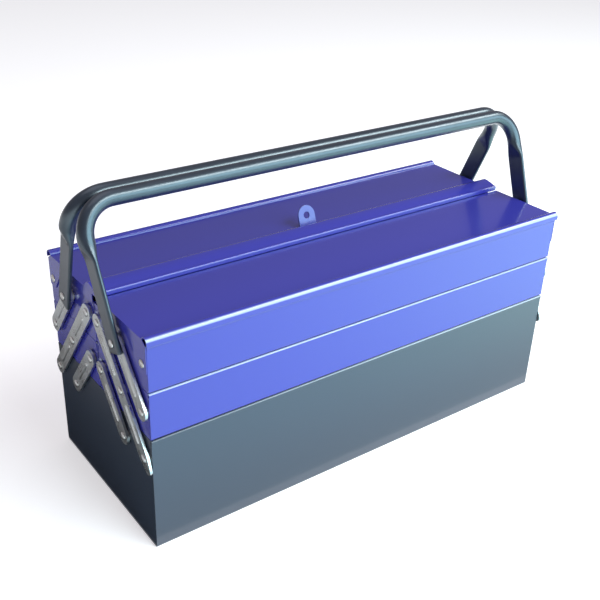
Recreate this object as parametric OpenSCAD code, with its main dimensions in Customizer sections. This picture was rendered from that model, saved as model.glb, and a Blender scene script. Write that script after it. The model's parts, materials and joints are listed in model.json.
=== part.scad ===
// Five-compartment cantilever tool box, millimetres, +Z up.
// Origin: centre of the underside of the base. X runs along the box, the front is at -Y.
// Each side is drawn once, for the rear (+Y) and the right end (+X), and mirrored.

/* [Box] */
// Length of the sheet-metal boxes
box_l = 530; // [400:5:600]
// Width over the base's front and rear walls
box_w = 211; // [205:1:230]
// Height of the base up to its rim
base_h = 127.4; // [120:0.2:140]
// Height of one tray
tray_h = 50.8; // [48:0.2:54]
// Height of an upper tray's walls under its lid
upper_h = 48; // [44:0.5:48]
// Thickness of the sheet metal
sheet_t = 0.8; // [0.7:0.1:1]
// Vertical gap between stacked boxes
stack_gap = 0.4; // [0.3:0.1:0.8]
// Gap between the front and rear trays
centre_gap = 1.6; // [1:0.2:3]

/* [Lids] */
// Height of the lids' centre-line plane above the ground
lid_z = 232; // [231:0.5:234]
// Radius of the rolled bead along a lid's outer edge
bead_r = 4.5; // [3.5:0.5:5]
// Height of the hump along the rear lid's inner edge
hump_h = 8.5; // [6:0.5:9]
// Distance from the centre plane to the front lid's inner edge
front_lid_in = 11; // [10.5:0.5:14]

/* [Linkage] */
// Distance from the centre plane to the outermost pivots
pivot_out = 96; // [94:1:98]
// Horizontal pitch of the pivots
pivot_dy = 42; // [40:1:43]
// Vertical pitch of the pivots
pivot_dz = 52; // [51:0.5:53]
// Height of the base's pivots
pivot_z = 104; // [100:1:106]
// Width of a link
link_w = 17.5; // [15:0.5:18.5]
// Thickness of a link
link_t = 2.5; // [2:0.5:2.5]
// Radius of a rivet's shank
rivet_r = 2.5; // [2:0.25:3]
// Radial clearance of a link on its rivet
running_gap = 0.08; // [0.02:0.01:0.1]

/* [Handles] */
// Diameter of the handle's tube
tube_d = 16; // [14:1:16]
// Distance from the centre plane to a handle's bar
bar_y = 8.5; // [8.3:0.1:12]
// Height of the handle's bar
bar_z = 327; // [310:1:340]
// Centre-line radius of the handle's bends
bend_r = 32; // [25:1:40]
// Width of a flattened leg
leg_w = 22; // [18:1:22]
// Thickness of a flattened leg
leg_t = 4.6; // [4:0.2:5]

/* [Hasp] */
// Radius of the padlock hole
lock_r = 3.8; // [3:0.1:4]
// Backward lean of the hasp
hasp_lean = 20; // [18:1:24]

/* [Hidden] */
$fn = 48;

base_black = [0.16, 0.18, 0.20];
tray_blue = [0.31, 0.33, 0.78];
zinc = [0.66, 0.68, 0.66];
tube_black = [0.12, 0.13, 0.14];

half_l = box_l / 2;
half_w = box_w / 2;
half_t = sheet_t / 2;
tray_in = centre_gap / 2;
lower_z = base_h + stack_gap;
upper_z = lower_z + tray_h + stack_gap;
upper_top = upper_z + upper_h;
low_wall_top = upper_top - 4;

arc_step = 12;
fold_r = 2;
hem_r = 1.2;
hem_proud = 0.5;
hem_depth = 8;
flange_w = 10;
flange_rise = 6;
flange_drop = 12;
floor_flange_inset = 5;
rim_in = 20;
rim_out = 6;
slope_foot = 12;
slope_w = 5;
notch_gap = 0.2;
hole_depth = 10;
hole_h = 40;

pivot_mid = pivot_out - pivot_dy;
pivot_in = pivot_mid - pivot_dy;
tray_pivot_z = pivot_z + pivot_dz;
upper_pivot_z = tray_pivot_z + pivot_dz;
link_len = norm([pivot_dy, pivot_dz]);
link_lean = atan(pivot_dy / pivot_dz);
lid_pivot = [pivot_out + 1, upper_pivot_z - 1];

link_x = half_l + 1.6;
link_out_x = link_x + link_t;
rib_w = 4.6;
rib_h = 0.9;
rib_inset = 14;
foot_reach = 11.5;
foot_r = 5;

washer_r = 6.5;
washer_t = 1.4;
head_r = 4.3;
head_h = 1.5;
tail_r = 4;
tail_h = 1;
head_play = 0.15;

bead_y = half_w + 3 - bead_r - half_t;
bead_z = lid_z - 0.5;
skirt_z = upper_top + 1.3;
lid_end_x = half_l + 0.3;
ear_z = upper_z + 19;
lid_flange_z = lid_z - 9.5;
lid_corner_z = lid_z - 4;
ear_in = lid_pivot[0] - 4;
ear_slope_in = lid_pivot[0] - 22;
ear_corner = 3;
edge_drop = 4.5;
edge_r = 1;
hump_start = 23;
hump_crest = 8;
hump_fall_w = 15;
hump_fall_h = 3.2;
lip_y = -10.1;
lip_z = lid_z + 0.3;
lip_r = 1.5;
lip_h = 3.3;

hasp_t = 1.6;
hasp_y = 20;
hasp_hole_h = 13.5;
hasp_r = 11;
hasp_foot_z = low_wall_top - 22;
hasp_shelf_z = low_wall_top - 1;
slot_half = 15;
slot_y = [15.3, 22.2];
slot_cut = 5;

bar_lean = atan((pivot_mid - bar_y) / (bar_z - upper_pivot_z));
bar_s = norm([pivot_mid - bar_y, bar_z - upper_pivot_z]);
leg_wall = 1.2;
leg_end = 10;
leg_flat_s = 74;
leg_splay = 2.2;
leg_gap = 0.5;
leg_head_play = 0.35;
bend_step = 0.8;
leg_x = link_out_x + leg_t / 2 + leg_gap;
leg_top_x = leg_x + leg_flat_s * tan(leg_splay);
bend_s = bar_s - bend_r;
bend_x = leg_top_x + bend_step;
bend_cx = bend_x - bend_r;
tube_sides = 24;
bend_steps = 10;

// ---- sheet-metal outlines ----

// Points of an arc round c from angle a0 to a1
function arc(c, r, a0, a1) =
    let (steps = ceil(abs(a1 - a0) / arc_step))
    [for (i = [0:steps]) let (a = a0 + (a1 - a0) * i / steps) c + r * [cos(a), sin(a)]];
function unit(v) = v / norm(v);
function left_of(v) = [-v[1], v[0]];
function side_step(p, i) =
    let (
        last = len(p) - 1,
        n0 = left_of(unit(p[max(i, 1)] - p[max(i, 1) - 1])),
        n1 = left_of(unit(p[min(i, last - 1) + 1] - p[min(i, last - 1)])),
        n = unit(n0 + n1)
    ) n / (n * n0);
// Closed outline of a sheet whose middle follows path p
function sheet_outline(p) =
    concat(
        [for (i = [0:len(p) - 1]) p[i] + half_t * side_step(p, i)],
        [for (i = [len(p) - 1:-1:0]) p[i] - half_t * side_step(p, i)]
    );

// Rolled hem on the wall with its outer face at y0; it stands slightly proud of the wall
function hem_path(y0, top) =
    let (y = y0 + half_t - hem_proud, z = top - half_t - hem_r)
    concat(
        [[y + 2 * hem_r, z - hem_depth]],
        arc([y + hem_r, z], hem_r, 0, 180),
        [[y, z - hem_r], [y0 + half_t, z - 2 * hem_r]]
    );
function plain_path(y0, top) = [[y0 + half_t, top]];
function mirrored(p) = [for (i = [len(p) - 1:-1:0]) [-p[i][0], p[i][1]]];
// Open box section: hemmed walls at y0 and y1, floor at z0
function channel_path(y0, y1, z0, wall0, wall1) =
    concat(
        wall0,
        arc([y0 + half_t + fold_r, z0 + half_t + fold_r], fold_r, 180, 270),
        arc([y1 - half_t - fold_r, z0 + half_t + fold_r], fold_r, 270, 360),
        wall1
    );

// Extrudes a (y, z) outline along X, from x on
module along_x(x, length) {
    translate([x, 0, 0])
        rotate([90, 0, 90])
            linear_extrude(length)
                children();
}

// Draws a rear, right-hand piece on the side and end it belongs to
module placed(front, left) {
    mirror([left ? 1 : 0, 0, 0])
        mirror([0, front ? 1 : 0, 0])
            children();
}

module channel(path) {
    along_x(-half_l, box_l)
        polygon(sheet_outline(path));
}

// Pivot hole through everything near the end panel
module pivot_hole(at, r) {
    translate([half_l - hole_depth, at[0], at[1]])
        rotate([0, 90, 0])
            cylinder(r = r, h = hole_h);
}

// ---- boxes ----

// End panel standing inside a channel, with weld flanges and pivot holes.
// Its top corners are notched round the walls' hems; an inner wall with no hem is low_top high.
module end_panel(y0, y1, z0, top, low_top, pivots) {
    in0 = y0 + sheet_t;
    in1 = y1 - sheet_t;
    floor_z = z0 + sheet_t;
    corner = fold_r - half_t;
    notch_w = 2 * hem_r - hem_proud + notch_gap;
    notch_z = top - hem_depth - hem_r - half_t - notch_gap;
    rim_w = in1 - in0 - rim_in - rim_out;
    rim_x = half_l - 2 * hem_r - sheet_t;
    inner_top = low_top < top
        ? [[in0 + slope_foot + slope_w, top], [in0 + slope_foot, low_top], [in0, low_top]]
        : [[in0 + notch_w, top], [in0 + notch_w, notch_z], [in0, notch_z]];
    difference() {
        union() {
            along_x(half_l - sheet_t, sheet_t)
                polygon(concat(
                    arc([in0 + corner, floor_z + corner], corner, 180, 270),
                    arc([in1 - corner, floor_z + corner], corner, 270, 360),
                    [[in1, notch_z], [in1 - notch_w, notch_z], [in1 - notch_w, top]],
                    inner_top
                ));
            for (y = [in0, in1 - sheet_t])
                translate([half_l - flange_w, y, z0 + flange_rise])
                    cube([flange_w, sheet_t, low_top - z0 - flange_rise - flange_drop]);
            translate([half_l - flange_w, in0 + floor_flange_inset, floor_z])
                cube([flange_w, in1 - in0 - 2 * floor_flange_inset, sheet_t]);
            translate([rim_x, in0 + rim_in, top - hem_depth])
                cube([sheet_t, rim_w, hem_depth]);
            translate([rim_x, in0 + rim_in, top - sheet_t])
                cube([half_l - rim_x, rim_w, sheet_t]);
        }
        for (p = pivots)
            pivot_hole(p, rivet_r);
    }
}

module base_shell() {
    wall = hem_path(-half_w, base_h);
    color(base_black)
        channel(channel_path(-half_w, half_w, 0, wall, mirrored(wall)));
}

module base_end(left) {
    color(base_black)
        placed(false, left)
            end_panel(
                -half_w, half_w, 0, base_h, base_h,
                [for (s = [-1, 1], y = [pivot_mid, pivot_out]) [s * y, pivot_z]]
            );
}

module lower_shell(front) {
    color(tray_blue)
        placed(front, false)
            channel(channel_path(
                tray_in, half_w, lower_z,
                hem_path(tray_in, lower_z + tray_h),
                mirrored(hem_path(-half_w, lower_z + tray_h))
            ));
}

module lower_end(front, left) {
    color(tray_blue)
        placed(front, left)
            end_panel(
                tray_in, half_w, lower_z, lower_z + tray_h, lower_z + tray_h,
                [for (y = [pivot_in, pivot_mid, pivot_out]) [y, tray_pivot_z]]
            );
}

module upper_shell(front) {
    color(tray_blue)
        placed(front, false)
            channel(channel_path(
                tray_in, half_w, upper_z,
                plain_path(tray_in, low_wall_top),
                mirrored(hem_path(-half_w, upper_top))
            ));
}

module upper_end(front, left) {
    color(tray_blue)
        placed(front, left)
            end_panel(
                tray_in, half_w, upper_z, upper_top, low_wall_top,
                [[pivot_in, upper_pivot_z], [pivot_mid, upper_pivot_z], lid_pivot]
            );
}

// ---- lids ----

bead_path = concat(
    arc([bead_y, bead_z], bead_r, 170, 0),
    [[bead_y + bead_r, skirt_z]]
);
front_edge_path = concat(
    [[front_lid_in + half_t, lid_z - edge_drop]],
    arc([front_lid_in + half_t + edge_r, lid_z - edge_r], edge_r, 180, 90)
);
hump_rise_path = [
    for (i = [0:10]) let (k = i / 10)
        [hump_crest + k * (hump_start - hump_crest), lid_z + hump_h * (1 + cos(180 * k)) / 2]
];
hump_fall_path = [
    for (i = [8:-1:1]) let (k = i / 8)
        [hump_crest - hump_fall_w * k, lid_z + hump_h - hump_fall_h * pow(k, 1.5)]
];
hump_path = concat(
    [[lip_y, lip_z]],
    arc([lip_y + lip_r, lip_z + lip_h], lip_r, 180, 100),
    hump_fall_path,
    hump_rise_path
);

// End flange, closed up to the lid's inner edge, with the ear that carries the lid's pivot
module lid_end(inner_path, inner_y) {
    along_x(lid_end_x, sheet_t)
        polygon(concat(
            inner_path,
            [[bead_y - bead_r + half_t, lid_z], [half_w, lid_corner_z]],
            arc([half_w - ear_corner, ear_z + ear_corner], ear_corner, 360, 270),
            [
                [ear_in, ear_z],
                [ear_slope_in, lid_flange_z],
                [inner_y, lid_flange_z],
                [inner_y, inner_path[0][1]]
            ]
        ));
}

module lid(inner_path, inner_y) {
    difference() {
        union() {
            along_x(-lid_end_x - sheet_t, 2 * (lid_end_x + sheet_t))
                polygon(sheet_outline(concat(inner_path, bead_path)));
            for (left = [false, true])
                placed(false, left)
                    lid_end(inner_path, inner_y);
        }
        for (left = [false, true])
            placed(false, left)
                pivot_hole(lid_pivot, rivet_r + running_gap);
    }
}

module front_lid() {
    color(tray_blue)
        placed(true, false)
            lid(front_edge_path, front_lid_in);
}

module rear_lid() {
    color(tray_blue)
        difference() {
            lid(hump_path, tray_in);
            translate([-slot_half, slot_y[0], lid_z - slot_cut])
                cube([2 * slot_half, slot_y[1] - slot_y[0], slot_cut + hump_h]);
        }
}

// Strip welded to the rear upper tray's inner wall, with the padlock tab
module hasp() {
    foot_y = tray_in + sheet_t + hasp_t / 2;
    shelf_y = hasp_y - (lid_z - hasp_shelf_z) * tan(hasp_lean);
    color(tray_blue)
        union() {
            translate([-hasp_r, foot_y - hasp_t / 2, hasp_foot_z])
                cube([2 * hasp_r, hasp_t, hasp_shelf_z - hasp_foot_z]);
            translate([-hasp_r, foot_y - hasp_t / 2, hasp_shelf_z - hasp_t])
                cube([2 * hasp_r, shelf_y - foot_y + hasp_t, hasp_t]);
            translate([0, hasp_y, lid_z])
                rotate([90 - hasp_lean, 0, 0])
                    linear_extrude(hasp_t, center = true)
                        hasp_tab();
        }
}

module hasp_tab() {
    tab_foot = (lid_z - hasp_shelf_z + hasp_t / 2) / cos(hasp_lean);
    difference() {
        union() {
            translate([0, hasp_hole_h])
                circle(r = hasp_r);
            translate([-hasp_r, -tab_foot])
                square([2 * hasp_r, hasp_hole_h + tab_foot]);
        }
        translate([0, hasp_hole_h])
            circle(r = lock_r);
    }
}

// ---- links ----

// Flat strap from its lower pivot at the origin up through the given pivots
module strap(pivots, foot) {
    top = pivots[len(pivots) - 1];
    difference() {
        union() {
            for (p = [pivots[0], top])
                translate([0, p])
                    circle(d = link_w);
            translate([-link_w / 2, 0])
                square([link_w, top]);
            if (foot) {
                polygon([
                    [-link_w / 2, 0], [-foot_r, -foot_reach],
                    [foot_r, -foot_reach], [link_w / 2, 0]
                ]);
                translate([0, -foot_reach])
                    circle(r = foot_r);
            }
        }
        for (p = pivots)
            translate([0, p])
                circle(r = rivet_r + running_gap);
    }
}

module rib() {
    length = link_len - 2 * rib_inset;
    translate([0, rib_inset + rib_w / 2])
        circle(d = rib_w);
    translate([0, rib_inset + length - rib_w / 2])
        circle(d = rib_w);
    translate([-rib_w / 2, rib_inset + rib_w / 2])
        square([rib_w, length - rib_w]);
}

// Link with its lower pivot at (y, z), leaning inwards
module link(front, left, y, z, spans, foot = false) {
    color(zinc)
        placed(front, left)
            translate([0, y, z])
                rotate([link_lean, 0, 0]) {
                    along_x(link_x, link_t)
                        strap([for (i = [0:spans]) i * link_len], foot);
                    for (i = [0:spans - 1])
                        along_x(link_out_x, rib_h)
                            translate([0, i * link_len])
                                rib();
                }
}

module long_link(front, left) {
    link(front, left, pivot_out, pivot_z, 2, front);
}

module short_link(front, left) {
    link(front, left, pivot_mid, pivot_z, 1);
}

module handle_link(front, left) {
    link(front, left, pivot_out, tray_pivot_z, 1);
}

// ---- rivets and washers ----

// Rivet set in the end panel; its head holds what lies inside head_x
module rivet(at, head_x) {
    tail_x = half_l - sheet_t - tail_h;
    translate([0, at[0], at[1]])
        rotate([0, 90, 0]) {
            translate([0, 0, tail_x])
                cylinder(r = tail_r, h = tail_h);
            translate([0, 0, tail_x + tail_h / 2])
                cylinder(r = rivet_r, h = head_x - tail_x);
            translate([0, 0, head_x])
                rivet_head();
        }
}

// Low dome: a slice of a sphere
module rivet_head() {
    dome_r = (head_r * head_r + head_h * head_h) / (2 * head_h);
    rotate_extrude()
        intersection() {
            translate([0, head_h - dome_r])
                circle(r = dome_r);
            square([head_r, head_h]);
        }
}

module washer(at) {
    translate([half_l, at[0], at[1]])
        rotate([0, 90, 0])
            difference() {
                cylinder(r = washer_r, h = washer_t);
                translate([0, 0, -1])
                    cylinder(r = rivet_r, h = washer_t + 2);
            }
}

link_head_x = link_out_x + head_play;
leg_head_x = leg_x + leg_t / 2 + leg_head_play;
lid_head_x = lid_end_x + sheet_t + head_play;

module end_rivets(front, pivots, head_x) {
    color(zinc)
        for (left = [false, true])
            placed(front, left)
                for (p = pivots)
                    rivet(p, head_x);
}

module end_washers(front, pivots) {
    color(zinc)
        for (left = [false, true])
            placed(front, left)
                for (p = pivots)
                    washer(p);
}

base_pivots = [[pivot_mid, pivot_z], [pivot_out, pivot_z]];
lower_pivots = [for (y = [pivot_in, pivot_mid, pivot_out]) [y, tray_pivot_z]];

module base_rivets() {
    end_rivets(true, base_pivots, link_head_x);
    end_rivets(false, base_pivots, link_head_x);
}

module base_washers() {
    end_washers(true, base_pivots);
    end_washers(false, base_pivots);
}

module lower_rivets(front) {
    end_rivets(front, lower_pivots, link_head_x);
}

module lower_washers(front) {
    end_washers(front, lower_pivots);
}

module upper_rivets(front) {
    end_rivets(front, [[pivot_in, upper_pivot_z]], link_head_x);
    end_rivets(front, [[pivot_mid, upper_pivot_z]], leg_head_x);
    end_rivets(front, [lid_pivot], lid_head_x);
}

module upper_washers(front) {
    end_washers(front, [[pivot_in, upper_pivot_z], [pivot_mid, upper_pivot_z]]);
}

// ---- handles ----

// Ring of the tube's skin: an oval leg_w wide at k = 0, round at k = 1
function skin_ring(k, wall) =
    let (
        r = tube_d / 2,
        thick = leg_t / 2 + k * (r - leg_t / 2) - wall,
        shift = (1 - k) * (leg_w - leg_t) / 2
    ) [
        for (i = [0:tube_sides - 1]) let (a = 360 * i / tube_sides)
            [thick * cos(a), thick * sin(a) + shift * sign(sin(a))]
    ];
// Stations up the right leg to the bar: [x, s, direction, roundness]
function leg_stations() = concat(
    [
        [leg_x - leg_end * tan(leg_splay), -leg_end, 90 - leg_splay, 0],
        [leg_top_x, leg_flat_s, 90 - leg_splay, 0]
    ],
    [
        for (i = [1:5]) let (k = i / 6)
            [
                leg_top_x + k * (bend_x - leg_top_x),
                leg_flat_s + k * (bend_s - leg_flat_s),
                90 - leg_splay * (1 - k),
                (1 - cos(180 * k)) / 2
            ]
    ],
    [
        for (i = [0:bend_steps]) let (a = 90 * i / bend_steps)
            [bend_cx + bend_r * cos(a), bend_s + bend_r * sin(a), 90 + a, 1]
    ]
);
function tube_stations() =
    let (leg = leg_stations(), last = len(leg) - 1)
        concat(leg, [for (i = [last:-1:0]) [-leg[i][0], leg[i][1], 360 - leg[i][2], leg[i][3]]]);
function station_points(st, wall) = [
    for (p = skin_ring(st[3], wall))
        [st[0] + p[0] * sin(st[2]), p[1], st[1] - p[0] * cos(st[2])]
];
function quad(a, b, c, d) = [[a, b, c], [a, c, d]];

// Bent tube with flattened ends, open at both, standing in the XZ plane
module bent_tube() {
    stations = tube_stations();
    rings = len(stations);
    skin = rings * tube_sides;
    points = [
        for (wall = [0, leg_wall], st = stations, p = station_points(st, wall)) p
    ];
    sides = [
        for (i = [0:rings - 2], j = [0:tube_sides - 1])
            let (
                j1 = (j + 1) % tube_sides,
                a = i * tube_sides,
                b = a + tube_sides
            )
            each concat(
                quad(a + j, a + j1, b + j1, b + j),
                quad(skin + a + j, skin + b + j, skin + b + j1, skin + a + j1)
            )
    ];
    last = (rings - 1) * tube_sides;
    ends = [
        for (j = [0:tube_sides - 1])
            let (j1 = (j + 1) % tube_sides)
            each concat(
                quad(j, skin + j, skin + j1, j1),
                quad(last + j, last + j1, skin + last + j1, skin + last + j)
            )
    ];
    polyhedron(points, concat(sides, ends), convexity = 6);
}

module handle(front) {
    color(tube_black)
        placed(front, false)
            difference() {
                translate([0, pivot_mid, upper_pivot_z])
                    rotate([bar_lean, 0, 0])
                        bent_tube();
                for (left = [false, true])
                    placed(false, left)
                        pivot_hole([pivot_mid, upper_pivot_z], rivet_r + running_gap);
            }
}

base_shell();
base_end(true);  // base_left_end
base_end(false);  // base_right_end
base_rivets();
base_washers();
lower_shell(true);  // front_lower_shell
lower_end(true, true);  // front_lower_left_end
lower_end(true, false);  // front_lower_right_end
lower_rivets(true);  // front_lower_rivets
lower_washers(true);  // front_lower_washers
upper_shell(true);  // front_upper_shell
upper_end(true, true);  // front_upper_left_end
upper_end(true, false);  // front_upper_right_end
upper_rivets(true);  // front_upper_rivets
upper_washers(true);  // front_upper_washers
front_lid();
long_link(true, true);  // front_long_link_left
long_link(true, false);  // front_long_link_right
short_link(true, true);  // front_short_link_left
short_link(true, false);  // front_short_link_right
handle_link(true, true);  // front_handle_link_left
handle_link(true, false);  // front_handle_link_right
handle(true);  // front_handle
lower_shell(false);  // rear_lower_shell
lower_end(false, true);  // rear_lower_left_end
lower_end(false, false);  // rear_lower_right_end
lower_rivets(false);  // rear_lower_rivets
lower_washers(false);  // rear_lower_washers
upper_shell(false);  // rear_upper_shell
upper_end(false, true);  // rear_upper_left_end
upper_end(false, false);  // rear_upper_right_end
upper_rivets(false);  // rear_upper_rivets
upper_washers(false);  // rear_upper_washers
rear_lid();
hasp();
long_link(false, true);  // rear_long_link_left
long_link(false, false);  // rear_long_link_right
short_link(false, true);  // rear_short_link_left
short_link(false, false);  // rear_short_link_right
handle_link(false, true);  // rear_handle_link_left
handle_link(false, false);  // rear_handle_link_right
handle(false);  // rear_handle
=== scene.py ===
"""Looks of the cantilever tool box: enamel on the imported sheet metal, and finer links, rivets and handles."""
import json
import math

import bmesh
import bpy
from mathutils import Matrix, Vector


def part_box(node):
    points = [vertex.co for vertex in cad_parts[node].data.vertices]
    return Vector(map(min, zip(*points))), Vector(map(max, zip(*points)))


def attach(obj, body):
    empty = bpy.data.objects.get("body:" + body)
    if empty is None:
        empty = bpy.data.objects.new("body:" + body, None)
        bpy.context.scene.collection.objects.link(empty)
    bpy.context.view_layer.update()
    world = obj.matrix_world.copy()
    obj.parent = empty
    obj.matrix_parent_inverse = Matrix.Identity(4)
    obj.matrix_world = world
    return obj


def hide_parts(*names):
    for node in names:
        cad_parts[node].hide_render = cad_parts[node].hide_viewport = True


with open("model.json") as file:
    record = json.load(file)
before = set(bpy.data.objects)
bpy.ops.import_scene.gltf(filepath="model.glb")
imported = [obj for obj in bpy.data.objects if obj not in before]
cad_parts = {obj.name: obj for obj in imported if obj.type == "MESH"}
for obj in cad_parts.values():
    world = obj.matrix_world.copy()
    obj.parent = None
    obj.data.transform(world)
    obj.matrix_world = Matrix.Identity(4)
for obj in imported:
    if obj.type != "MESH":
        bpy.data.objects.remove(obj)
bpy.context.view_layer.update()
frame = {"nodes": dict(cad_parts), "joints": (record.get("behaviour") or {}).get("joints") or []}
nodes = frame["nodes"]
SIDES = {"front": -1.0, "rear": 1.0}
ENDS = {"left": -1.0, "right": 1.0}

# Camera, floor and world
CAMERA_PLACE = Vector((-0.556, -0.705, 0.628))
CAMERA_AZIMUTH = math.radians(37.1)
CAMERA_ELEVATION = math.radians(28.1)
CAMERA_ROLL = math.radians(2.2)
CAMERA_LENS = 53.85
FLOOR_SIZE = 60.0
FLOOR_GLOW = 0.48
WORLD_COLOUR = (0.97, 0.90, 1.0, 1.0)
WORLD_STRENGTH = 0.26

# Lights: place, aim, size, watts, colour
LIGHTS = {
    "key": ((1.0, -1.9, 0.85), (0, 0, 0.15), (2.6, 1.2), 40, (0.68, 1.0, 1.12)),
    "strip": ((0.9, -1.2, 1.7), (0, 0, 0.25), (2.8, 0.4), 48, (0.95, 1.0, 1.0)),
    "top": ((-0.3, 0.4, 2.6), (0, 0, 0), (2.0, 2.0), 9, (1.0, 0.90, 0.97)),
}

# Cards on the floor that only reflections see: corners, height over the floor, and fades along X and Y
DARK_CARD = ((-0.9, -0.15), (-0.2652, -0.15), (-0.2652, 0.9), (-0.9, 0.9))
DARK_HEIGHT = 0.002
DARK_FADE = (-0.42, -0.31)
DARK_COLOUR = (0.01, 0.01, 0.01)
PAPER_COLOUR = (0.8, 0.8, 0.8)
BRIGHT_CARD = ((-0.4, -1.2), (1.6, -1.2), (1.6, -0.115), (-0.4, -0.115))
BRIGHT_HEIGHT = 0.003
BRIGHT_FADE = (-0.1, 0.55)
BRIGHT_LEFT = (0.05, 0.45, 0.60)
BRIGHT_RIGHT = (0.28, 0.88, 0.80)
BRIGHT_POWER = 1.2
BRIGHT_NEAR = 0.15
BRIGHT_NEAR_FADE = (-0.30, -0.11)

# Links, in metres
LINK_WIDTH = 0.0175
LINK_THICK = 0.0025
LINK_EDGE = 0.0005
FOOT_REACH = 0.0115
FOOT_RADIUS = 0.005
RIB_WIDTH = 0.0052
RIB_HEIGHT = 0.0010
RIB_INSET = 0.0135
RIB_SUNK = 0.00005
RIB_STEPS = 8
END_STEPS = 24
FOOT_STEPS = 14
FOOT_SPAN = (195, 345)

# Rivets
RIVET_SHANK = 0.0025
HEAD_RADIUS = 0.0043
HEAD_HEIGHT = 0.0015
TAIL_RADIUS = 0.004
TAIL_HEIGHT = 0.001
TAIL_ROUND = 0.0003
HEAD_EDGE = 0.0002
HEAD_PLAY = 0.00015

# Handles
TUBE_RADIUS = 0.008
BEND_RADIUS = 0.032
LEG_WIDTH = 0.022
LEG_THICK = 0.0046
LEG_WALL = 0.0012
LEG_END = 0.010
LEG_FLAT = 0.074
LEG_SPLAY = math.radians(2.2)
BEND_STEP_OUT = 0.0008
TUBE_SIDES = 32
LEG_STEPS = (-LEG_END / LEG_FLAT, -LEG_END / LEG_FLAT + 0.02, 0.0, 0.35, 0.7, 0.9, 1.0)
BLEND_STEPS = 12
BEND_STEPS = 16
BAR_STEPS = (0.97, 0.66, 0.33)
HOLLOW_RINGS = 8

# Sheet metal
SHEET = 0.0008
SHEET_BEVEL = 0.0003
WASHER_BEVEL = 0.0002
WELD_DISTANCE = 0.00001

# Painted highlights along hems and beads, pale bands standing in for the light these rounded edges catch: how
# far below the top, or in from the edge, the band reaches
HEM_HIGHLIGHT_REACH = 0.0014
BEAD_HIGHLIGHT_REACH = 0.0030
# Along the base the painted highlight fades in along X, faint at the left end and full towards the right end
BASE_HIGHLIGHT_FADE = (-0.35, 0.25)
# The painted highlight's colour: the share of the enamel's light shade, and the pale tint mixed with it
HIGHLIGHT_PAINT_SHARE = 0.5
HIGHLIGHT_TINT = (0.62, 0.74, 0.82)

# Paints: dark and light shade, roughness range, clear coat
CHARCOAL = ((0.034, 0.047, 0.071), (0.040, 0.056, 0.083), (0.315, 0.325), 0.5)
VIOLET_BLUE = ((0.033, 0.035, 0.335), (0.041, 0.043, 0.385), (0.262, 0.268), 0.7)
# The hasp's paint is a lighter copy of the violet-blue enamel: a painted highlight on the tab, which faces the
# light
HASP_LIT_BLUE = ((0.052, 0.066, 0.38), (0.062, 0.078, 0.43), (0.26, 0.32), 0.5)

# Zinc: grain scale, bright and warm shade
ZINC_STRIP = (350.0, (0.76, 0.80, 0.79), (0.64, 0.64, 0.60))
ZINC_RIVET = (600.0, (0.74, 0.75, 0.73), (0.60, 0.58, 0.53))
ZINC_STAIN = (0.30, 0.28, 0.25)

# Powder coat: dark and light shade
COAT_SHADES = ((0.010, 0.014, 0.024), (0.015, 0.021, 0.034))


# ---- camera, floor and lights ----

def make_camera():
    look = Vector((
        math.sin(CAMERA_AZIMUTH) * math.cos(CAMERA_ELEVATION),
        math.cos(CAMERA_AZIMUTH) * math.cos(CAMERA_ELEVATION),
        -math.sin(CAMERA_ELEVATION),
    ))
    level = look.cross(Vector((0, 0, 1))).normalized()
    right = level * math.cos(CAMERA_ROLL) + level.cross(look) * math.sin(CAMERA_ROLL)
    up = right.cross(look)
    camera = bpy.data.objects.new("camera", bpy.data.cameras.new("camera"))
    turn = Matrix((right, up, -look)).transposed().to_4x4()
    camera.matrix_world = Matrix.Translation(CAMERA_PLACE) @ turn
    camera.data.lens = CAMERA_LENS
    camera.data.sensor_width = 36.0
    camera.data.clip_end = 50.0
    bpy.context.scene.collection.objects.link(camera)
    bpy.context.scene.camera = camera


def flat_quad(name, corners, height, material):
    """A level four-cornered sheet of the stage."""
    mesh = bpy.data.meshes.new(name)
    mesh.from_pydata([(x, y, height) for x, y in corners], [], [(0, 1, 2, 3)])
    mesh.materials.append(material)
    quad = bpy.data.objects.new(name, mesh)
    bpy.context.scene.collection.objects.link(quad)
    return quad


def make_floor():
    half = FLOOR_SIZE / 2
    mat, _, shader = new_material("floor_paper")
    shader.inputs["Base Color"].default_value = (0.93, 0.93, 0.93, 1)
    shader.inputs["Roughness"].default_value = 0.9
    shader.inputs["Emission Color"].default_value = (1, 1, 1, 1)
    shader.inputs["Emission Strength"].default_value = FLOOR_GLOW
    flat_quad("floor", [(-half, -half), (half, -half), (half, half), (-half, half)], 0, mat)


def make_card(name, corners, height):
    """A card lying on the floor that only reflections see, as a studio shades or lifts a glossy face."""
    mat, tree, shader = new_material(f"{name}_cloth")
    shader.inputs["Roughness"].default_value = 1.0
    shader.inputs["Specular IOR Level"].default_value = 0.0
    card = flat_quad(name, corners, height, mat)
    card.visible_camera = False
    card.visible_diffuse = False
    card.visible_shadow = False
    return tree, shader


def make_cards():
    tree, shader = make_card("dark_card", DARK_CARD, DARK_HEIGHT)
    fade = remap(tree, object_axis(tree, "X"), 1.0, 0.0, *DARK_FADE)
    tree.links.new(blend_colours(tree, fade, DARK_COLOUR, PAPER_COLOUR), shader.inputs["Base Color"])
    tree, shader = make_card("bright_card", BRIGHT_CARD, BRIGHT_HEIGHT)
    shader.inputs["Base Color"].default_value = (*PAPER_COLOUR, 1)
    across = remap(tree, object_axis(tree, "X"), 0.0, 1.0, *BRIGHT_FADE)
    colour = blend_colours(tree, across, BRIGHT_LEFT, BRIGHT_RIGHT)
    power = remap(tree, object_axis(tree, "Y"), BRIGHT_POWER, BRIGHT_NEAR * BRIGHT_POWER, *BRIGHT_NEAR_FADE)
    tree.links.new(colour, shader.inputs["Emission Color"])
    tree.links.new(power, shader.inputs["Emission Strength"])


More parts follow.
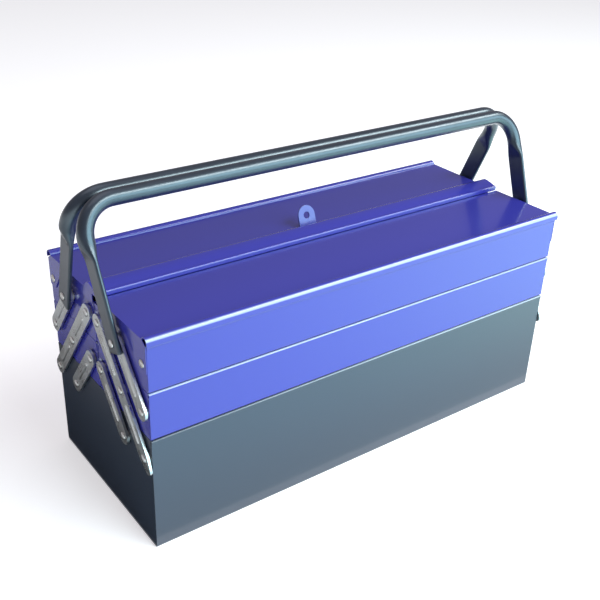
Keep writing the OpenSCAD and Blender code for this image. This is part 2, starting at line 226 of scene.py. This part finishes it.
def area_light(name, place, aim, size, power, colour):
    data = bpy.data.lights.new(name, "AREA")
    data.shape = "RECTANGLE"
    data.size, data.size_y = size
    data.energy = power
    data.color = colour
    light = bpy.data.objects.new(name, data)
    light.location = place
    light.rotation_euler = (Vector(aim) - Vector(place)).to_track_quat("-Z", "Y").to_euler()
    bpy.context.scene.collection.objects.link(light)


def make_lights():
    world = bpy.data.worlds.new("studio")
    world.use_nodes = True
    world.node_tree.nodes["Background"].inputs["Color"].default_value = WORLD_COLOUR
    world.node_tree.nodes["Background"].inputs["Strength"].default_value = WORLD_STRENGTH
    bpy.context.scene.world = world
    bpy.context.scene.view_settings.view_transform = "Standard"
    for name, settings in LIGHTS.items():
        area_light(name, *settings)


# ---- materials ----

def new_material(name):
    mat = bpy.data.materials.new(name)
    mat.use_nodes = True
    return mat, mat.node_tree, mat.node_tree.nodes["Principled BSDF"]


def noise(tree, scale, detail, stretch=(1, 1, 1)):
    """Noise over the object's own coordinates, in metres; returns its factor."""
    place = tree.nodes.new("ShaderNodeTexCoord")
    mapping = tree.nodes.new("ShaderNodeMapping")
    mapping.inputs["Scale"].default_value = stretch
    texture = tree.nodes.new("ShaderNodeTexNoise")
    texture.inputs["Scale"].default_value = scale
    texture.inputs["Detail"].default_value = detail
    tree.links.new(place.outputs["Object"], mapping.inputs["Vector"])
    tree.links.new(mapping.outputs["Vector"], texture.inputs["Vector"])
    return texture.outputs["Fac"]


def object_axis(tree, axis):
    """One of the object's own coordinates, in metres."""
    place = tree.nodes.new("ShaderNodeTexCoord")
    split = tree.nodes.new("ShaderNodeSeparateXYZ")
    tree.links.new(place.outputs["Object"], split.inputs["Vector"])
    return split.outputs[axis]


def remap(tree, value, low, high, start=0.3, end=0.7):
    """Carries start..end smoothly over to low..high."""
    node = tree.nodes.new("ShaderNodeMapRange")
    node.interpolation_type = "SMOOTHSTEP"
    node.inputs["From Min"].default_value = start
    node.inputs["From Max"].default_value = end
    node.inputs["To Min"].default_value = low
    node.inputs["To Max"].default_value = high
    tree.links.new(value, node.inputs["Value"])
    return node.outputs["Result"]


def multiply(tree, values):
    """The product of one or more sockets."""
    result = values[0]
    for value in values[1:]:
        node = tree.nodes.new("ShaderNodeMath")
        node.operation = "MULTIPLY"
        tree.links.new(result, node.inputs[0])
        tree.links.new(value, node.inputs[1])
        result = node.outputs["Value"]
    return result


def blend_colours(tree, factor, first, second):
    """Mixes two colours, each an RGB triple or a socket."""
    node = tree.nodes.new("ShaderNodeMix")
    node.data_type = "RGBA"
    tree.links.new(factor, node.inputs["Factor"])
    for socket, colour in (("A", first), ("B", second)):
        target = [s for s in node.inputs if s.name == socket and s.type == "RGBA"][0]
        if isinstance(colour, tuple):
            target.default_value = (*colour, 1)
        else:
            tree.links.new(colour, target)
    return [s for s in node.outputs if s.type == "RGBA"][0]


def bump(tree, height, distance, strength, under=None):
    node = tree.nodes.new("ShaderNodeBump")
    node.inputs["Distance"].default_value = distance
    node.inputs["Strength"].default_value = strength
    tree.links.new(height, node.inputs["Height"])
    if under:
        tree.links.new(under, node.inputs["Normal"])
    return node.outputs["Normal"]


def enamel(name, dark, light, rough, coat, painted_highlight_bands=()):
    """Stoved enamel on sheet steel: faint orange peel over slightly wavy metal, with an uneven shade.

    The last argument is a list of (axis, start, end): a painted highlight, pale paint standing in for light on
    a rim or bead, lies where all of them reach their end.
    """
    mat, tree, shader = new_material(name)
    shade = noise(tree, 2.0, 0.0)
    colour = blend_colours(tree, shade, dark, light)
    if painted_highlight_bands:
        # Painted highlight: pale paint over the band where every mask is full
        highlight_masks = [remap(tree, object_axis(tree, axis), 0.0, 1.0, start, end) for axis, start, end in painted_highlight_bands]
        pale = tuple(HIGHLIGHT_PAINT_SHARE * c + (1 - HIGHLIGHT_PAINT_SHARE) * p for c, p in zip(light, HIGHLIGHT_TINT))
        colour = blend_colours(tree, multiply(tree, highlight_masks), colour, pale)
    tree.links.new(colour, shader.inputs["Base Color"])
    tree.links.new(remap(tree, noise(tree, 3.0, 0.0), *rough, 0.0, 1.0), shader.inputs["Roughness"])
    wavy = bump(tree, noise(tree, 7.0, 1.0, (0.6, 1.0, 1.0)), 0.0010, 0.3)
    peel = bump(tree, noise(tree, 300.0, 0.0), 0.00001, 0.2, wavy)
    tree.links.new(peel, shader.inputs["Normal"])
    shader.inputs["Coat Weight"].default_value = coat
    shader.inputs["Coat Roughness"].default_value = 0.12
    return mat


def hem_painted_highlight(node):
    """The rolled top edge of a box's walls, which gets a band of painted highlight."""
    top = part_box(node)[1].z
    return [("Z", top - HEM_HIGHLIGHT_REACH, top - HEM_HIGHLIGHT_REACH / 2)]


def bead_painted_highlight(side):
    """The outer upper quarter of a lid's bead, which gets a band of painted highlight."""
    edge = max(abs(corner.y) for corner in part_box(f"{side}_lid"))
    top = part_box("front_lid")[1].z
    return [
        ("Y", SIDES[side] * (edge - BEAD_HIGHLIGHT_REACH), SIDES[side] * (edge - BEAD_HIGHLIGHT_REACH / 2)),
        ("Z", top - 1.3 * BEAD_HIGHLIGHT_REACH, top - 0.8 * BEAD_HIGHLIGHT_REACH),
    ]


def zinc(name, grain_scale, bright, warm):
    """Zinc-plated strip: satin grain, cloudy passivation and a few darker rubs."""
    mat, tree, shader = new_material(name)
    shader.inputs["Metallic"].default_value = 1.0
    cloud = remap(tree, noise(tree, 26.0, 3.0), 0.0, 0.75)
    colour = blend_colours(tree, cloud, bright, warm)
    stain = remap(tree, noise(tree, 140.0, 5.0), 0.0, 0.2, 0.6, 0.8)
    tree.links.new(blend_colours(tree, stain, colour, ZINC_STAIN), shader.inputs["Base Color"])
    tree.links.new(remap(tree, noise(tree, 120.0, 3.0), 0.26, 0.36), shader.inputs["Roughness"])
    grain = bump(tree, noise(tree, grain_scale, 2.0, (1.0, 3.0, 0.6)), 0.00002, 0.3)
    tree.links.new(grain, shader.inputs["Normal"])
    return mat


def powder_coat(name):
    """Glossy black powder coat with a very fine pebble."""
    mat, tree, shader = new_material(name)
    shade = remap(tree, noise(tree, 40.0, 4.0), 0.0, 1.0)
    tree.links.new(blend_colours(tree, shade, *COAT_SHADES), shader.inputs["Base Color"])
    tree.links.new(remap(tree, noise(tree, 30.0, 1.0), 0.30, 0.36), shader.inputs["Roughness"])
    pebble = bump(tree, noise(tree, 400.0, 0.0), 0.00001, 0.02)
    tree.links.new(pebble, shader.inputs["Normal"])
    shader.inputs["Specular IOR Level"].default_value = 0.9
    shader.inputs["Specular Tint"].default_value = (0.62, 0.88, 1.0, 1.0)
    shader.inputs["Coat Weight"].default_value = 0.8
    shader.inputs["Coat Roughness"].default_value = 0.28
    return mat


# ---- mesh helpers ----

def piece_from(bm, name, material, body, replaced, smooth_angle=35):
    """Turns a bmesh into a piece that rides on a body and stands for a CAD node."""
    bmesh.ops.recalc_face_normals(bm, faces=bm.faces)
    mesh = bpy.data.meshes.new(name)
    bm.to_mesh(mesh)
    bm.free()
    mesh.polygons.foreach_set("use_smooth", [True] * len(mesh.polygons))
    mesh.set_sharp_from_angle(angle=math.radians(smooth_angle))
    mesh.materials.append(material)
    piece = bpy.data.objects.new(name, mesh)
    bpy.context.scene.collection.objects.link(piece)
    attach(piece, body)
    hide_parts(replaced)
    return piece


def add_bevel(piece, width, segments=2, angle=40):
    bevel = piece.modifiers.new("edges", "BEVEL")
    bevel.width = width
    bevel.segments = segments
    bevel.limit_method = "ANGLE"
    bevel.angle_limit = math.radians(angle)
    return bevel


def arc(centre, radius, start, end, steps):
    """Points round a centre, both ends included; angles in degrees."""
    turn = [math.radians(start + (end - start) * i / steps) for i in range(steps + 1)]
    return [(centre[0] + radius * math.cos(a), centre[1] + radius * math.sin(a)) for a in turn]


# ---- links ----

def link_outline(length, foot):
    """Outline of a strap in its own plane: across, along. Its lower pivot is the origin."""
    half = LINK_WIDTH / 2
    top = arc((0, length), half, 0, 180, END_STEPS)
    if not foot:
        return top + arc((0, 0), half, 180, 360, END_STEPS)
    toe = arc((0, -FOOT_REACH), FOOT_RADIUS, *FOOT_SPAN, FOOT_STEPS)
    return top + [(-half, 0)] + toe + [(half, 0)]


def add_strap(bm, outline, thick):
    """Solid strap between depth 0 and thick."""
    low = [bm.verts.new((0, u, v)) for u, v in outline]
    high = [bm.verts.new((thick, u, v)) for u, v in outline]
    bm.faces.new(low[::-1])
    bm.faces.new(high)
    for i in range(len(outline)):
        j = (i + 1) % len(outline)
        bm.faces.new((low[i], low[j], high[j], high[i]))


def rib_ring(start, end, radius, depth):
    """Long round-ended ring at one depth, between two centres."""
    return (
        [(depth, u, v) for u, v in arc((0, end), radius, 0, 180, 12)]
        + [(depth, u, v) for u, v in arc((0, start), radius, 180, 360, 12)]
    )


def add_rib(bm, start, end):
    """Domed rib standing on the strap's outer face, with a soft foot."""
    rings = []
    for i in range(RIB_STEPS + 1):
        k = i / RIB_STEPS
        radius = RIB_WIDTH / 2 * (1 - 0.92 * k)
        rise = RIB_HEIGHT * (1 - math.cos(math.pi * min(1.0, 1.25 * k))) / 2
        ring = rib_ring(start, end, radius, LINK_THICK - RIB_SUNK + rise)
        rings.append([bm.verts.new(p) for p in ring])
    for inner, outer in zip(rings[1:], rings[:-1]):
        for i in range(len(inner)):
            j = (i + 1) % len(inner)
            bm.faces.new((outer[i], outer[j], inner[j], inner[i]))
    bm.faces.new(rings[-1])


def link_matrix(side, end, pivot, out_x, lean):
    """Places a strap: leaning inwards, on the given side and end, mirrored where needed."""
    mirror = Matrix.Diagonal((ENDS[end], SIDES[side], 1, 1))
    place = Matrix.Translation((out_x, abs(pivot[1]), pivot[2]))
    return mirror @ place @ Matrix.Rotation(lean, 4, "X")


def make_link(side, end, kind, spans, body, material):
    node = f"{side}_{kind}_link_{end}"
    pivot = pivots[f"{side}_{kind}"]
    low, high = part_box(node)
    inner_x = min(abs(low.x), abs(high.x))
    foot = side == "front" and kind == "long"
    bm = bmesh.new()
    add_strap(bm, link_outline(spans * link_length, foot), LINK_THICK)
    sharp = [e for e in bm.edges if e.calc_face_angle(0) > math.radians(40)]
    bmesh.ops.bevel(bm, geom=sharp, offset=LINK_EDGE, segments=3, affect="EDGES", profile=0.5)
    inset = RIB_INSET + RIB_WIDTH / 2
    for i in range(spans):
        add_rib(bm, i * link_length + inset, (i + 1) * link_length - inset)
    bmesh.ops.transform(bm, matrix=link_matrix(side, end, pivot, inner_x, link_lean), verts=bm.verts)
    piece_from(bm, f"{node}_strap", material, body, node)


# ---- rivets ----

def rivet_profile(head_x, tail_x):
    """Half section of a set rivet along X: depth, radius."""
    dome = [
        (head_x + HEAD_HEIGHT * math.sin(math.radians(a)), HEAD_RADIUS * math.cos(math.radians(a)))
        for a in range(0, 90, 10)
    ]
    tail = arc((tail_x + TAIL_ROUND, TAIL_RADIUS - TAIL_ROUND), TAIL_ROUND, 90, 180, 4)
    return (
        [(tail_x, 0.0)]
        + tail[::-1]
        + [(tail_x + TAIL_HEIGHT, TAIL_RADIUS), (tail_x + TAIL_HEIGHT, RIVET_SHANK)]
        + [(head_x, RIVET_SHANK), (head_x, HEAD_RADIUS - HEAD_EDGE)]
        + dome
        + [(head_x + HEAD_HEIGHT, 0.0)]
    )


def add_lathe(bm, profile, matrix, sides=32):
    """Turns a profile (depth, radius) round the X axis."""
    rings = []
    for depth, radius in profile:
        if radius == 0.0:
            rings.append([bm.verts.new(matrix @ Vector((depth, 0, 0)))])
            continue
        turn = [2 * math.pi * i / sides for i in range(sides)]
        ring = [Vector((depth, radius * math.cos(a), radius * math.sin(a))) for a in turn]
        rings.append([bm.verts.new(matrix @ point) for point in ring])
    for first, second in zip(rings, rings[1:]):
        for i in range(sides):
            j = (i + 1) % sides
            if len(first) == 1:
                bm.faces.new((first[0], second[j], second[i]))
            elif len(second) == 1:
                bm.faces.new((first[i], first[j], second[0]))
            else:
                bm.faces.new((first[i], first[j], second[j], second[i]))


def make_rivets(node, body, material, groups):
    """groups: [(side, y, z, x of the head's underside)], the same on both ends."""
    tail_x = box_half_length - SHEET - TAIL_HEIGHT
    bm = bmesh.new()
    for side, y, z, head_x in groups:
        for end in ENDS.values():
            matrix = Matrix.Diagonal((end, SIDES[side], 1, 1)) @ Matrix.Translation((0, y, z))
            add_lathe(bm, rivet_profile(head_x, tail_x), matrix)
    piece_from(bm, f"{node}_set", material, body, node)


# ---- handles ----

def leg_section(roundness, wall):
    """Ring of the tube's skin: flat oval at 0, round at 1. Across the sheet, along the width."""
    thick = LEG_THICK / 2 + roundness * (TUBE_RADIUS - LEG_THICK / 2) - wall
    shift = (1 - roundness) * (LEG_WIDTH - LEG_THICK) / 2
    ring = []
    for i in range(TUBE_SIDES):
        a = 2 * math.pi * (i + 0.5) / TUBE_SIDES
        ring.append((thick * math.cos(a), thick * math.sin(a) + math.copysign(shift, math.sin(a))))
    return ring


def leg_stations(leg_x, bar_height):
    """Up the right leg to the bar: x, height along the leg, direction, roundness."""
    top_x = leg_x + LEG_FLAT * math.tan(LEG_SPLAY)
    bend_height = bar_height - BEND_RADIUS
    bend_x = top_x + BEND_STEP_OUT
    right = math.pi / 2
    stations = []
    for k in LEG_STEPS:
        x = leg_x + k * LEG_FLAT * math.tan(LEG_SPLAY)
        stations.append((x, k * LEG_FLAT, right - LEG_SPLAY, 0.0))
    for i in range(1, BLEND_STEPS):
        k = i / BLEND_STEPS
        stations.append((
            top_x + k * (bend_x - top_x),
            LEG_FLAT + k * (bend_height - LEG_FLAT),
            right - LEG_SPLAY * (1 - k),
            (1 - math.cos(math.pi * k)) / 2,
        ))
    for i in range(BEND_STEPS + 1):
        a = right * i / BEND_STEPS
        stations.append((
            bend_x - BEND_RADIUS + BEND_RADIUS * math.cos(a),
            bend_height + BEND_RADIUS * math.sin(a),
            right + a,
            1.0,
        ))
    for k in BAR_STEPS:
        stations.append(((bend_x - BEND_RADIUS) * k, bar_height, math.pi, 1.0))
    return stations


def handle_rings(bm, stations, wall):
    """A ring of vertices at each station, wall metres under the outer skin."""
    rings = []
    for x, height, turn, roundness in stations:
        rings.append([
            bm.verts.new((x + across * math.sin(turn), along, height - across * math.cos(turn)))
            for across, along in leg_section(roundness, wall)
        ])
    return rings


def skin(bm, rings):
    """Faces between each ring and the next."""
    for first, second in zip(rings, rings[1:]):
        for i in range(TUBE_SIDES):
            j = (i + 1) % TUBE_SIDES
            bm.faces.new((first[i], first[j], second[j], second[i]))


def make_handle(side, material):
    """One bent tube: round along the bar, flattened and open at the ends of its legs."""
    node = f"{side}_handle"
    low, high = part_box(node)
    pivot_y = abs(pivots[f"{side}_leg"].y)
    pivot_z = pivots[f"{side}_leg"].z
    bar_z = high.z - TUBE_RADIUS
    bar_y = min(abs(low.y), abs(high.y)) + TUBE_RADIUS
    lean = math.atan2(pivot_y - bar_y, bar_z - pivot_z)
    bar_height = math.hypot(pivot_y - bar_y, bar_z - pivot_z)
    leg_x = high.x - TUBE_RADIUS - BEND_STEP_OUT - LEG_FLAT * math.tan(LEG_SPLAY)
    right = leg_stations(leg_x, bar_height)
    left = [(-x, height, 2 * math.pi - turn, roundness) for x, height, turn, roundness in reversed(right)]
    stations = right + left
    bm = bmesh.new()
    outer = handle_rings(bm, stations, 0.0)
    inner_right = handle_rings(bm, stations[:HOLLOW_RINGS], LEG_WALL)
    inner_left = handle_rings(bm, stations[-HOLLOW_RINGS:], LEG_WALL)
    for rings in (outer, inner_right, inner_left):
        skin(bm, rings)
    for rim, slit in ((outer[0], inner_right[0]), (outer[-1], inner_left[-1])):
        for i in range(TUBE_SIDES):
            j = (i + 1) % TUBE_SIDES
            bm.faces.new((rim[i], rim[j], slit[j], slit[i]))
    bm.faces.new(inner_right[-1])
    bm.faces.new(inner_left[0])
    place = Matrix.Translation((0, pivot_y, pivot_z)) @ Matrix.Rotation(lean, 4, "X")
    bmesh.ops.transform(bm, matrix=Matrix.Diagonal((1, SIDES[side], 1, 1)) @ place, verts=bm.verts)
    piece = piece_from(bm, f"{node}_tube", material, node, node, 60)
    subdivide = piece.modifiers.new("round", "SUBSURF")
    subdivide.levels = 1
    subdivide.render_levels = 1


# ---- sheet metal ----

def finish_sheet(node, material, bevel_width=SHEET_BEVEL):
    """Keeps a CAD node's shape, rounds its edges slightly and gives it its enamel."""
    piece = nodes[node]
    weld = piece.modifiers.new("weld", "WELD")
    weld.merge_threshold = WELD_DISTANCE
    add_bevel(piece, bevel_width)
    piece.data.materials.clear()
    piece.data.materials.append(material)
    piece.data.polygons.foreach_set("use_smooth", [True] * len(piece.data.polygons))
    normals = piece.modifiers.new("normals", "WEIGHTED_NORMAL")
    normals.keep_sharp = True


# ---- build ----

joint_at = {j["name"]: Vector(j["pos_m"]) for j in frame["joints"]}
pivots = {}
for side in SIDES:
    pivots[f"{side}_long"] = joint_at[f"{side}_fold"]
    pivots[f"{side}_short"] = joint_at[f"{side}_short_link_pivot"]
    pivots[f"{side}_handle"] = joint_at[f"{side}_handle_pivot"]
    step = joint_at[f"{side}_upper_tray_pivot"] - joint_at[f"{side}_lower_tray_pivot"]
    pivots[f"{side}_leg"] = joint_at[f"{side}_handle_pivot"] + step
    pivots[f"{side}_short_top"] = joint_at[f"{side}_short_link_pivot"] + step
link_length = step.length
link_lean = math.atan2(abs(step.y), step.z)
box_half_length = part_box("base_shell")[1].x

make_camera()
make_floor()
make_cards()
make_lights()

base_paint = enamel("charcoal_enamel", *CHARCOAL)
# Painted highlights: pale bands on the base's and the lower trays' hems and on both lids' beads
base_painted_highlight = hem_painted_highlight("base_shell") + [("X", *BASE_HIGHLIGHT_FADE)]
base_shell_paint = enamel("charcoal_enamel_rim_highlight", *CHARCOAL, base_painted_highlight)
tray_paint = enamel("violet_blue_enamel", *VIOLET_BLUE)
lower_shell_paint = enamel("violet_blue_enamel_rim_highlight", *VIOLET_BLUE, hem_painted_highlight("front_lower_shell"))
lid_paint = {side: enamel(f"violet_blue_{side}_lid", *VIOLET_BLUE, bead_painted_highlight(side)) for side in SIDES}
# Lighter copy of the enamel on the hasp tab: painted highlight where it faces the light
hasp_paint = enamel("hasp_enamel_lit_copy", *HASP_LIT_BLUE)
link_zinc = zinc("zinc_strip", *ZINC_STRIP)
rivet_zinc = zinc("zinc_rivet", *ZINC_RIVET)
handle_coat = powder_coat("black_powder_coat")

for name in nodes:
    if name == "base_shell":
        finish_sheet(name, base_shell_paint)
    elif name.startswith("base") and name.endswith("_end"):
        finish_sheet(name, base_paint)
    elif name.endswith("lower_shell"):
        finish_sheet(name, lower_shell_paint)
    elif name.endswith(("upper_shell", "_end")):
        finish_sheet(name, tray_paint)
    elif name.endswith("_lid"):
        finish_sheet(name, lid_paint[name.split("_")[0]])
    elif name == "hasp":
        finish_sheet(name, hasp_paint)
    elif name.endswith("washers"):
        finish_sheet(name, rivet_zinc, WASHER_BEVEL)

link_out_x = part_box("rear_short_link_right")[0].x + LINK_THICK
link_head_x = link_out_x + HEAD_PLAY
leg_head_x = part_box("rear_upper_rivets")[1].x - HEAD_HEIGHT
lid_head_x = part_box("rear_lid")[1].x + HEAD_PLAY

for side in SIDES:
    for end in ENDS:
        make_link(side, end, "long", 2, f"{side}_long_links", link_zinc)
        make_link(side, end, "short", 1, f"{side}_short_links", link_zinc)
        make_link(side, end, "handle", 1, f"{side}_handle", link_zinc)
    make_handle(side, handle_coat)
    lower = [
        joint_at[f"{side}_lower_tray_pivot"],
        joint_at[f"{side}_handle_pivot"],
        pivots[f"{side}_short_top"],
    ]
    make_rivets(
        f"{side}_lower_rivets", f"{side}_lower_tray", rivet_zinc,
        [(side, abs(p.y), p.z, link_head_x) for p in lower],
    )
    upper = [
        (joint_at[f"{side}_upper_tray_pivot"], link_head_x),
        (pivots[f"{side}_leg"], leg_head_x),
        (joint_at[f"{side}_lid_hinge"], lid_head_x),
    ]
    make_rivets(
        f"{side}_upper_rivets", f"{side}_upper_tray", rivet_zinc,
        [(side, abs(p.y), p.z, head) for p, head in upper],
    )
base_pivots = [(side, pivots[f"{side}_{kind}"]) for side in SIDES for kind in ("long", "short")]
make_rivets(
    "base_rivets", "base", rivet_zinc,
    [(side, abs(p.y), p.z, link_head_x) for side, p in base_pivots],
)
